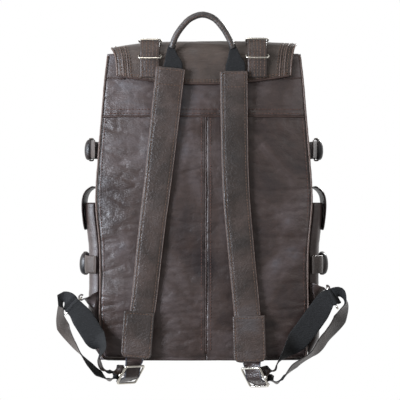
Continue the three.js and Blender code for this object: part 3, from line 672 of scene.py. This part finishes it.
def flap():
    """One skin from the back seam over the ridge and down the front, with its bound edges."""
    def place(u, v, lift):
        across = 2 * u - 1
        start = flap_seam(across * flap_reach(0))
        t = start + (1 - start) * v
        return on_flap(across * flap_reach(t), t, lift)

    def relief(u, v):
        at = place(u, v, 0)
        run = v * 570
        inset = min(u, 1 - u) * 2 * 126
        edge = rolled(min(inset, (1 - v) * 560, v * 560 + 0.8), 2.2)
        ribs = 0.0
        if v < 0.36:
            ribs = 0.8 * max(0.0, math.cos(inset * 2 * math.pi / 9.5)) * math.exp(-(inset / 22) ** 4)
        slack = min(0.5, -0.5 + worn(at.x, run, 21.7, 1.2))
        pucker = 0.9 * hills(at.x, run, 7, 60, 3.3) * math.exp(-run / 16)
        near_strap = min(abs(at.x - 75.5), abs(at.x + 76))
        calm = 1 - 0.75 * math.exp(-(near_strap / 18) ** 4)
        return (slack + pucker) * calm + ribs - edge

    skin = shell("flap_leather", place, 120, 190, LEATHER, FLAP_BROWN, relief)
    settle(skin, "root", "leather", "flap_back", "flap_lid", bend=LID_BEND)
    lines = []
    for side in (-1, 1):
        for inset in (5, 12, 19):
            end = 1.0 if inset == 5 else 0.36
            lines.append([on_flap(side * (flap_reach(t) - inset), t, 0.35)
                          for t in np.linspace(flap_seam(side * (flap_reach(0) - inset)) + 0.01, end, 260)])
    front = [on_flap(x, 0.982, 0.3) for x in np.linspace(-122, 122, 260)]
    seam = [on_flap(x, flap_seam(x) + 0.012, 0.3) for x in np.linspace(-117, 117, 260)]
    second = [on_flap(x, flap_seam(x) + 0.024, 0.3) for x in np.linspace(-117, 117, 260)]
    thread = stitches("flap_stitching", lines + [front, seam, second], TAN_THREAD)
    settle(thread, "root", "leather", bend=LID_BEND)
    for hand, side in HANDS.items():
        # Welts and the bound edge are lighter tan: partly their own colour, partly painted highlight.
        for number, inset in enumerate((9, 15.5)):
            line = [on_flap(side * (flap_reach(t) - inset), t, 0.2)
                    for t in np.linspace(flap_seam(side * (flap_reach(0) - inset)) + 0.004, 0.34, 60)]
            settle(tube(f"flap_welt_{hand}_{number}", line, 0.75, EDGE, 6), "root", "leather", bend=LID_BEND)
    down_left = [(-1, t) for t in np.linspace(flap_seam(-121), 1, 150)]
    up_right = [(1, t) for t in np.linspace(1, flap_seam(121), 150)]
    edge = [on_flap(side * (flap_reach(t) + 0.2), t, -1.3) for side, t in down_left + up_right]
    settle(tube("flap_edge", edge, 1.4, EDGE, 8), "root", "leather", bend=LID_BEND)
    foot = [on_flap(x, flap_seam(x) + 0.001, -0.4) for x in np.linspace(-120, 120, 200)]
    settle(tube("flap_seam_fold", foot, 1.6, PIPING, 8), "root", "leather")


def flap_straps():
    """The two straps over the flap, from the back seam to their loose tails."""
    for hand, (x_seam, x_front) in {"left": (-76, -76), "right": (75, 74)}.items():
        stations = []
        start = flap_seam(x_seam) + 0.02
        lifts = profile([(0, 0.4), (0.6 / FLAP_SPANS, 0.5), (2 / FLAP_SPANS, 3.6), (4.5 / FLAP_SPANS, 3.6),
                         (RIDGE, 2.4), (RIDGE + 0.05, 0.7), (1, 0.6)])
        for step in range(37):
            t = start + (1 - start) * step / 36
            x = x_seam + (x_front - x_seam) * t
            stations.append((on_flap(x, t, lifts(t) + LEATHER / 2), (1, 0, 0), FLAP_STRAP))
        tail = stations[-1][0] + Vector((0, 0.6, -26))
        stations.append((stations[-1][0].lerp(tail, 0.5), (1, 0, 0), FLAP_STRAP))
        stations.append((tail, (1, 0, 0), 23))
        strap = Ribbon(stations, -1)
        made = strap.body(f"flap_strap_leather_{hand}", LEATHER, STRAP_LEATHER,
                          dome=0.35, groove=0.35, wear=0.35, columns=16)
        settle(made, "root", "strap_leather", f"flap_tab_{hand}", f"flap_strap_{hand}", bend=LID_BEND)
        lines = [strap.line(s, 1.35, 0.004, 0.996, inset=3.4) for s in (-1, 1)]
        thread = stitches(f"flap_strap_stitching_{hand}", lines, TAN_THREAD)
        settle(thread, "root", "strap_leather", bend=LID_BEND)
        ribs = [strap.line(s, 1.45, 0.006, 0.3) for s in (-0.33, 0.0, 0.33)]
        thread = stitches(f"flap_tab_ribs_{hand}", ribs, TAN_THREAD, length=3.2, radius=0.5)
        settle(thread, "root", "strap_leather", bend=LID_BEND)


# Height, distance from the side, and half height and depth of each tip.
SIDE_TIPS = {"upper": (293, 13.5, 15, 7.5), "lower": (128, 21.5, 16, 8.5)}


def side_tips():
    """The black leather tips that stand out from the side straps' buckles."""
    for hand, side in HANDS.items():
        for level, (z, lift, tall, deep) in SIDE_TIPS.items():
            middle = side_face(side, 0, z, lift)
            rings, around = 14, 18
            vertices = []
            for j in range(rings + 1):
                polar = math.pi * j / rings
                for k in range(around):
                    turn = 2 * math.pi * k / around
                    size = math.sin(polar) ** 0.7
                    vertices.append(middle + Vector((
                        side * deep * size * math.cos(turn),
                        11 * size * math.sin(turn),
                        tall * math.cos(polar) - 1.5 * size * math.cos(turn))))
            faces = []
            for j in range(rings):
                faces += band(j * around, (j + 1) * around, around)
            settle(piece(f"side_tip_{level}_{hand}", vertices, faces, BLACK), "root", "strap_leather")


def wires():
    """The polished wire fittings, as smooth copies of their CAD shapes."""
    # Kind of fitting, and the body it rides on where that isn't a body of its own.
    groups = {"flap_loop_upper": None, "flap_loop_lower": None, "strap_buckle": None, "corner_ring": None,
              "front_prong": None, "front_buckle": "flap_lid", "side_buckle_upper": "root",
              "side_buckle_lower": "root"}
    for kind, body in groups.items():
        for hand in HANDS:
            node = f"{kind}_{hand}"
            made = smooth_copy(node, f"{node}_metal", METAL, 2, swell=0.1)
            if kind.startswith("side_buckle"):
                made.data.materials[0] = DARK_METAL
            settle(made, body or node, "metal", node)

    def rounding(t):
        return max(0.25, math.sin(math.pi * min(0.97, max(0.03, t)))) ** 0.6

    for hand, outer in HANDS.items():
        made = smooth_copy(f"buckle_pin_{hand}", f"buckle_pin_metal_{hand}", METAL, 2, swell=0.08)
        settle(made, f"strap_buckle_{hand}", "metal", f"buckle_pin_{hand}")
        across = BUCKLE[hand]["across"].normalized()
        knob = BUCKLE[hand]["centre"] + across * (outer * 17.2)
        toward = BUCKLE[hand]["down"].normalized().cross(across)
        line = [knob + toward * (lift * 0.1) for lift in range(-26, 27, 4)]
        settle(tube(f"buckle_knob_{hand}", line, 2.7, METAL, 14, swell=rounding),
               f"strap_buckle_{hand}", "metal")


BUCKLE = {
    "left": {"centre": Vector((-102.9, -73, -25.4)), "across": Vector((28, 19.6, -1)),
             "down": Vector((-14.7, 19.6, -27.7))},
    "right": {"centre": Vector((71.5, -74.4, -28.8)), "across": Vector((26.4, -17.5, 2.6)),
              "down": Vector((14.5, 17.5, -29.9))},
}
SHOULDER = {
    "left": {"line": [(-46.7, -78.2, 405, 40), (-53.9, -79.8, 339, 39), (-64.8, -81, 242, 37),
                      (-73, -81, 178, 36), (-84.7, -79.6, 73, 34.5), (-93.9, -79.2, 11, 34)],
             "patch": ((-90, 64), (-95, -1.4), 43.4)},
    "right": {"line": [(41.6, -78.2, 400, 37.5), (42.3, -79.8, 339, 37), (44.8, -81, 235, 36.4),
                       (52.4, -80.6, 143, 36), (60.5, -79.6, 59, 36), (63.6, -79.2, 11, 36)],
              "patch": ((62.6, 58), (64.6, -7), 45.6)},
}


def shoulder_straps():
    """The two padded straps with their end patches and the tongues that fill the buckles."""
    for hand, parts in SHOULDER.items():
        rides = f"shoulder_strap_{hand}"
        strap = Ribbon([((x, y, z), (1, 0, 0), width) for x, y, z, width in parts["line"]])
        made = strap.body(f"shoulder_leather_{hand}", STRAP_THICKNESS, STRAP_LEATHER,
                          dome=0.6, groove=0.55, wear=0.55, columns=28, seed=2.2 if hand == "left" else 6.4)
        settle(made, rides, "strap_leather", f"shoulder_strap_{hand}")
        lines = [strap.line(s, 2.35, 0.006, 0.985, inset=3.6) for s in (-1, 1)]
        top = [strap.place(s, 0.01, 2.75) for s in np.linspace(-0.8, 0.8, 40)]
        second = [strap.place(s, 0.075, 2.85) for s in np.linspace(-0.8, 0.8, 40)]
        settle(stitches(f"shoulder_stitching_{hand}", lines + [top, second], TAN_THREAD),
               rides, "strap_leather")
        # The lighter edge tubes carry painted highlight along the strap's turned edges, over their own tan
        # colour.
        for edge, s in (("outer", -1), ("inner", 1)):
            line = strap.line(s * 0.985, 0.9, 0.002, 0.99)
            settle(tube(f"shoulder_edge_{edge}_{hand}", line, 0.8, EDGE, 6), rides, "strap_leather")
        patch(hand, parts["patch"], rides)
        tongue(hand, parts["patch"], rides)


def patch(hand, extent, rides):
    """A plate sewn over the strap's end: square on top, round at the bottom."""
    (x_top, z_top), (x_bottom, z_bottom), width = extent
    top, bottom = Vector((x_top, 0, z_top)), Vector((x_bottom, 0, z_bottom))
    down = (bottom - top).normalized()
    across = Vector((0, -1, 0)).cross(down)
    length = (bottom - top).length
    corner = 9  # radius of the round end's corners

    def narrowing(run):
        left = length - run
        cut = corner - math.sqrt(max(0.0, corner**2 - (corner - left) ** 2)) if left < corner else 0.0
        return width / 2 - cut

    def place(u, v, lift):
        run = v * length
        at = top + down * run + across * ((2 * u - 1) * narrowing(run))
        return Vector((at.x, PATCH_FACE - 1.1 - lift, at.z))

    def relief(u, v):
        inset = min(min(u, 1 - u) * 2 * narrowing(v * length), v * length, (1 - v) * length)
        groove = 0.45 * math.exp(-((inset - 3.4) / 1.1) ** 2)
        return 1.5 - rolled(inset, 1.5) - groove + 0.35 * worn(u * 40, v * 60, 8.8)

    settle(shell(f"patch_leather_{hand}", place, 40, 56, 1.1, STRAP_LEATHER, relief), rides, "strap_leather",
           f"strap_patch_{hand}")
    outline = [(-1, k / 40) for k in range(2, 38)] + [(s, 38 / 40) for s in np.linspace(-1, 1, 20)]
    outline += [(1, k / 40) for k in range(38, 1, -1)] + [(s, 2 / 40) for s in np.linspace(1, -1, 20)]
    line = []
    for s, v in outline:
        run = v * length
        reach = narrowing(run) - 3.4
        at = top + down * run + across * (s * reach)
        line.append(Vector((at.x, PATCH_FACE - 2.35, at.z)))
    settle(stitches(f"patch_stitching_{hand}", [line], TAN_THREAD), rides, "strap_leather")


def tongue(hand, extent, rides):
    """The narrow strap that comes out under the patch and fills the buckle."""
    bar_reach = (BUCKLE_LENGTH - BUCKLE_WIRE) / 2
    buckle = BUCKLE[hand]
    centre, across, down = buckle["centre"], buckle["across"].normalized(), buckle["down"].normalized()
    toward = down.cross(across)

    def local(s, lift):
        return centre + down * s + toward * lift

    level = Vector((1, 0, 0))
    bottom_x, bottom_z = extent[1]
    start = Vector((bottom_x + 0.3, STRAP_DEPTH, TONGUE_TOP))
    under_top = local(-bar_reach, -6.4)
    patch_end = (TONGUE_TOP - bottom_z + 0.5) / (TONGUE_TOP - under_top.z)
    stations = [
        (start, level), (start.lerp(under_top, patch_end), level),
        (under_top, level.lerp(across, 0.7)), (local(-bar_reach / 2, -1.6), across),
        (local(0, 3.3), across), (local(bar_reach / 2, -0.8), across),
        (local(bar_reach, -6.2), across), (local(bar_reach + 3, -6.9), across),
    ]
    strap = Ribbon([(at, way, TONGUE) for at, way in stations])
    made = strap.body(f"tongue_leather_{hand}", 2.2, TONGUE_LEATHER,
                      dome=0.5, groove=0.5, wear=0.2, step=1.4)
    settle(made, rides, "strap_leather", f"strap_tongue_{hand}")
    for edge, s in (("outer", -0.93), ("inner", 0.93)):
        settle(tube(f"tongue_piping_{edge}_{hand}", strap.line(s, 1.0, 0.05, 0.97), 0.75, BLUE_EDGE, 6),
               rides, "strap_leather")


def handle():
    """The rolled haul handle, its seam, and the webbing it is sewn to."""
    line = [(-45.6, -73.9, 433), (-39.6, -76, 449), (-30, -77.6, 463), (-19, -78, 473.6), (-2.5, -78, 479.25),
            (13.5, -78, 474.2), (25, -77.6, 462.5), (33.8, -76, 449), (40.8, -73.9, 433)]
    at, _ = catmull(line, 0.5)
    points = [at(k / 120) for k in range(121)]

    def swell(t):
        pinch = 0.1 * math.exp(-((min(t, 1 - t)) / 0.03) ** 2)
        return 1.0 + 0.05 * noise.noise(Vector((t * 40, 0, 3))) - pinch

    roll = tube("handle_roll", points, 4.35, HANDLE_LEATHER, 18, swell=swell)
    settle(roll, "handle", "strap_leather", "handle")
    seam = [p + Vector((0, -4.1, 0)) + Vector((0, 0, -1.6)) for p in points[3:-3]]
    settle(stitches("handle_stitching", [seam], TAN_THREAD), "handle", "strap_leather")
    webs = {"left": [(-43.4, 380, 28), (-43.4, 409.6, 27), (-45.2, 421, 18), (-45.8, 432, 10.5),
                     (-43.5, 438, 9.5)],
            "right": [(44, 380, 28), (44, 409.6, 28), (42.4, 421, 18), (41.0, 432, 10.5),
                      (38.9, 438, 9.5)]}
    for hand, stations in webs.items():
        depths = [-73.9 + (0.3 if z < 400 else 0) for _, z, _ in stations]
        ribbon = Ribbon([((x, depth, z), (1, 0, 0), width)
                         for depth, (x, z, width) in zip(depths, stations)], -1)
        made = ribbon.body(f"handle_web_{hand}", 2.0, WEBBING, step=1.5)
        settle(made, "root", "webbing", f"handle_webbing_{hand}", f"strap_anchor_{hand}",
               bend=("handle", (0, -74, 402), (0, -74, 424)))


CORNERS = {
    "left": {
        "seam": Vector((-151.4, -62, 77)), "middle": Vector((-184, -64, 70.5)),
        "along": Vector((-0.69, 0, -0.724)),
        "leaving": Vector((-0.69, 0, -0.724)),
        "upper": [(-170, -76, 54, -0.93, 0, -0.36, 31), (-153, -80, 28, -0.95, 0, -0.31, 31),
                  (-143, -83, 13, -0.5, 0.85, -0.2, 28), (-147, -81, -1, 0.05, 1, 0, 26),
                  (-143.5, -76, -14, 0.1, 1, 0.1, 24), (-133, -73, -21, 0, 0.9, -0.4, 20)],
        "lower": [(-199, -60, 76, -0.35, 0.85, -0.3, 27), (-203, -57, 58, -0.4, 0.9, 0, 30),
                  (-199, -58, 40, -0.7, 0.7, 0, 31),
                  (-182, -60, 13, -0.45, 0.88, 0.1, 31), (-161, -64, -12, -0.05, 0.98, 0.2, 30),
                  (-148, -66, -24.6, 0, 0.95, 0.3, 26), (-133, -68, -33, -0.1, 0.85, -0.3, 22)],
    },
    "right": {
        "seam": Vector((153.2, -62, 90)), "middle": Vector((181, -64, 81)),
        "along": Vector((0.42, -0.35, -0.837)),
        "leaving": Vector((0.35, 0.6, -0.7)),
        "upper": [(160, -76, 62, 0.76, -0.1, -0.65, 31), (133, -80, 26, 0.9, 0.05, -0.42, 31),
                  (115, -83, 6, 0.5, 0.8, -0.2, 28), (103, -82, -8, 0.1, 0.99, 0, 24),
                  (97.5, -78, -19, 0, 0.95, -0.3, 20)],
        "lower": [(199, -63, 76, 0.2, 0.95, -0.2, 27), (192, -60, 52, 0.75, 0.66, 0, 30),
                  (172, -66, 27, 0.6, 0.8, 0.1, 30), (153, -77, 6, 0.55, 0.83, 0.1, 29),
                  (127, -80, -12, 0.55, 0.83, 0, 28), (111, -76, -29, 0.2, 0.95, 0.2, 26),
                  (100, -73, -36, 0.1, 0.85, -0.3, 22)],
    },
}


def ring_ways(hand):
    """A corner ring's long way, its near way and the way out of its plane."""
    long = CORNERS[hand]["along"].normalized()
    near = (Vector((0, -1, 0)) + long * long.y).normalized()
    return long, near, long.cross(near) * -HANDS[hand]


def station(x, y, z, way_x, way_y, way_z, width):
    """One station of a ribbon, from a row of the table above."""
    return Vector((x, y, z)), Vector((way_x, way_y, way_z)), width


def adjuster_straps():
    """Straps from each buckle over its corner ring and back: webbing on one face, leather on the other."""
    for hand, corner in CORNERS.items():
        side = HANDS[hand]
        long, near, outward = ring_ways(hand)
        near_bar = corner["middle"] + near * ((RING_DEPTH - WIRE) / 2)
        turn = []
        for degrees in (-20, 20, 60, 95):
            angle = math.radians(degrees)
            at = near_bar + near * (WRAP_RADIUS * math.cos(angle)) + outward * (WRAP_RADIUS * math.sin(angle))
            turn.append((at, long, 25))
        clear = near_bar + outward * 10 + Vector((0, 1, 0))
        arriving = near_bar + outward * -8 + near * (WRAP_RADIUS + 0.6)
        buckle = BUCKLE[hand]
        across, down = buckle["across"].normalized(), buckle["down"].normalized()
        toward = down.cross(across)
        upper_end = buckle["centre"] + across * (side * 8) + down * -4 + toward * -8
        lower_end = buckle["centre"] + across * (side * 8.6) + down * 7.6 + toward * -12.2
        route = [(upper_end, -down, 15)]
        route += [station(*values) for values in corner["upper"]][::-1]
        route += [(arriving, long, 26), *turn, (clear, corner["leaving"], 26)]
        route += [station(*values) for values in corner["lower"]]
        route += [(lower_end, -down, 15)]
        ribbon = Ribbon(route)
        made = ribbon.body(f"adjuster_web_{hand}", 1.8, WEBBING, step=2.2, columns=14)
        made.data.materials.append(STRAP_LEATHER)
        frames = [ribbon.frame(k / 300) for k in range(301)]
        for face in made.data.polygons:
            lift = lift_off(frames, Vector(face.center) * 1000 - BAG_ZERO)
            face.material_index = 1 if lift * side > 0.2 else 0
        anchor = near_bar.lerp(corner["middle"], 0.5)
        settle(made, "root", "webbing", f"adjuster_strap_{hand}",
               bend=(f"shoulder_strap_{hand}", (anchor.x, anchor.y, 62), (buckle["centre"].x, -72, -20)))


def lift_off(frames, place):
    """How far a point stands off the nearest of a ribbon's frames."""
    centre, _, out, _ = min(frames, key=lambda entry: (entry[0] - place).length_squared)
    return (place - centre).dot(out)


def corner_tabs():
    """The tapered leather tabs that hold the corner rings."""
    for hand, corner in CORNERS.items():
        long, near, outward = ring_ways(hand)
        short_bar = corner["middle"] - long * ((RING_LENGTH - WIRE) / 2)
        wrap = []
        for degrees in (-100, -45, 10, 65, 120, 170):
            angle = math.radians(degrees)
            at = short_bar + outward * (WRAP_RADIUS * math.sin(angle)) + long * (WRAP_RADIUS * math.cos(angle))
            wrap.append((at, near, 8))
        seam = corner["seam"]
        halfway = seam.lerp(wrap[0][0], 0.55)
        ribbon = Ribbon([(seam, (0, 0.15, 1), 29), (halfway, (0, -0.6, 0.8), 18), *wrap])
        made = ribbon.body(f"corner_tab_leather_{hand}", 2.0, BROWN, wear=0.3, step=1.2, columns=14)
        settle(made, "root", "webbing", f"corner_tab_{hand}")


def pockets():
    """The front pocket and the two side pockets, with their flaps and straps."""
    for hand, side in HANDS.items():
        def pocket(u, v, lift, side=side):
            across, z = (u - 0.5) * 100, 1 + 215 * v
            risen = min(1.0, math.sin(min(1, v * 9) * math.pi / 2))
            swell = 12.5 * math.sqrt(max(0.0, 1 - (2 * u - 1) ** 6)) * risen
            return side_face(side, across, z, 0.4 + swell + LEATHER + lift)

        def slack(u, v):
            return min(0.5, 1.2 * worn(u * 100, v * 215, 35.0)) - rolled((1 - v) * 215, 1.2)

        settle(shell(f"side_pocket_leather_{hand}", pocket, 44, 90, LEATHER, BROWN, slack), "root", "leather",
               f"side_pocket_{hand}")
    soft = (("front_pocket", "root", 31.0), ("front_pocket_flap", "front_pocket_flap", 33.0),
            ("side_flap_left", "side_flap_left", 39.0), ("side_flap_right", "side_flap_right", 41.0))
    for node, body, seed in soft:
        made = smooth_copy(node, f"{node}_leather", BROWN, 3, swell=0.1, wear=0.4, seed=seed)
        settle(made, body, "leather", node)
    for hand in HANDS:
        for level in ("upper", "lower"):
            node = f"side_strap_{level}_{hand}"
            settle(smooth_copy(node, f"{node}_leather", STRAP_LEATHER, 2), "root", "strap_leather", node)


def inner_parts():
    """CAD nodes that are right as they are and only take a finish."""
    for node, finish in (("lining", LINING), ("back_pad", FOAM), ("base_board", BOARD)):
        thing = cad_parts[node]
        for holder in thing.material_slots:
            holder.material = finish


# ---- light and camera
def area_light(name, place, target, size, energy, colour=(1, 1, 1)):
    """A round lamp that faces its target."""
    data = bpy.data.lights.new(name, "AREA")
    data.shape = "DISK"
    data.size = size
    data.energy = energy
    data.color = colour
    light = linked(name, data)
    light.location = place
    light.rotation_euler = (Vector(target) - Vector(place)).to_track_quat("-Z", "Y").to_euler()


def light_and_camera():
    """Pale surroundings, a broad bluish light from the left and a long lens square to the back."""
    scene = bpy.context.scene
    world = bpy.data.worlds.new("white_room")
    world.use_nodes = True
    scene.world = world
    scene.view_settings.view_transform = "Standard"
    tree = world.node_tree
    where = tree.nodes.new("ShaderNodeTexCoord")
    split = tree.nodes.new("ShaderNodeSeparateXYZ")
    fade = tree.nodes.new("ShaderNodeMapRange")
    fade.inputs["From Min"].default_value = -0.5
    fade.inputs["From Max"].default_value = 0.6
    fade.inputs["To Min"].default_value = 0.30
    fade.inputs["To Max"].default_value = 1.0
    tree.links.new(where.outputs["Generated"], split.inputs["Vector"])
    tree.links.new(split.outputs["Y"], fade.inputs["Value"])
    tree.links.new(fade.outputs["Result"], tree.nodes["Background"].inputs["Strength"])
    tree.nodes["Background"].inputs["Color"].default_value = (1, 1, 1, 1)
    middle = (-0.0056, 0.05, -0.2552)
    area_light("key", (-1.55, -1.25, -0.05), middle, 0.9, 64, (0.88, 0.95, 1.06))
    area_light("fill", (1.3, -1.5, 0.3), middle, 0.9, 6)
    area_light("top", (-0.3, -0.9, 1.5), middle, 0.8, 9, (1.0, 0.97, 0.93))
    area_light("side", (-1.6, -0.1, -0.1), middle, 0.8, 10, (0.92, 0.96, 1.0))
    area_light("front", (1.2, 1.6, 0.8), middle, 0.7, 50)
    data = bpy.data.cameras.new("view")
    data.lens = 128.6
    data.sensor_width = 36
    camera = linked("view", data)
    camera.location = (-0.0056, -2.0, -0.2552)
    camera.rotation_euler = (math.pi / 2, 0, 0)
    scene.camera = camera


# ---- build
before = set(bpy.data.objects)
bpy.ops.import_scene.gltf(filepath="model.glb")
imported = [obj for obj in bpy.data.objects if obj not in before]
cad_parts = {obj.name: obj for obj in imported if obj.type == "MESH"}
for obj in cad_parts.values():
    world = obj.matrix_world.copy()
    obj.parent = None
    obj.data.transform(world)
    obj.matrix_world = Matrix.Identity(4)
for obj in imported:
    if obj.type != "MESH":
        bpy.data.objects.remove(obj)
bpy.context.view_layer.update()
# Each leather's last colour is its painted bluish-grey sheen; the others are the leather's own tones.
BROWN = leather("brown_leather",
                (0.015, 0.009, 0.009), (0.038, 0.024, 0.020), (0.080, 0.074, 0.080), 0.40, 8.0, 0.5)
FLAP_BROWN = leather("flap_leather",
                     (0.018, 0.012, 0.009), (0.036, 0.026, 0.020), (0.062, 0.051, 0.046), 0.5, 6.0, 0.6)
# Painted shade for the underside: a darker version of the brown leather.
SHADED_BASE_LEATHER = leather("base_leather_painted_shade", (0.010, 0.006, 0.005), (0.02, 0.013, 0.011), (0.045, 0.034, 0.031))
STRAP_LEATHER = leather("strap_leather",
                        (0.013, 0.009, 0.007), (0.030, 0.021, 0.017), (0.060, 0.050, 0.048), 0.40, 11.0)
TONGUE_LEATHER = leather("tongue_leather",
                         (0.014, 0.008, 0.007), (0.026, 0.016, 0.015), (0.05, 0.040, 0.040), 0.34, 20.0)
HANDLE_LEATHER = leather("handle_leather",
                         (0.02, 0.017, 0.016), (0.04, 0.036, 0.034), (0.075, 0.07, 0.067), 0.4, 25.0)
# Light tan edging: partly the turned edges' own colour, partly painted highlight along the strap and flap
# edges.
EDGE = plain("tan_edge_painted_highlight", (0.095, 0.060, 0.047), 0.5, 260)
BLACK = leather("black_leather",
                (0.004, 0.004, 0.005), (0.008, 0.008, 0.009), (0.02, 0.02, 0.022), 0.38, 20.0, 0.5)
PIPING = plain("piping_edge", (0.040, 0.021, 0.016), 0.5, 220)
BLUE_EDGE = plain("waxed_edge", (0.06, 0.065, 0.085), 0.4, 300)
RED_THREAD = plain("red_brown_thread", (0.10, 0.042, 0.028), 0.7)
TAN_THREAD = plain("tan_thread", (0.125, 0.068, 0.042), 0.7)
WEBBING = webbing("black_webbing", (0.0035, 0.0038, 0.0045))
METAL = metal("pale_plating", (0.80, 0.76, 0.68))
DARK_METAL = metal("dark_plating", (0.20, 0.18, 0.16), 0.3)
LINING = plain("lining_cloth", (0.045, 0.036, 0.03), 0.95, 900)
FOAM = plain("foam", (0.16, 0.16, 0.16), 0.95, 400)
BOARD = plain("fibre_board", (0.22, 0.17, 0.11), 0.8, 300)

light_and_camera()
body_panels()
body_seams()
flap()
flap_straps()
side_tips()
wires()
shoulder_straps()
handle()
adjuster_straps()
corner_tabs()
pockets()
inner_parts()
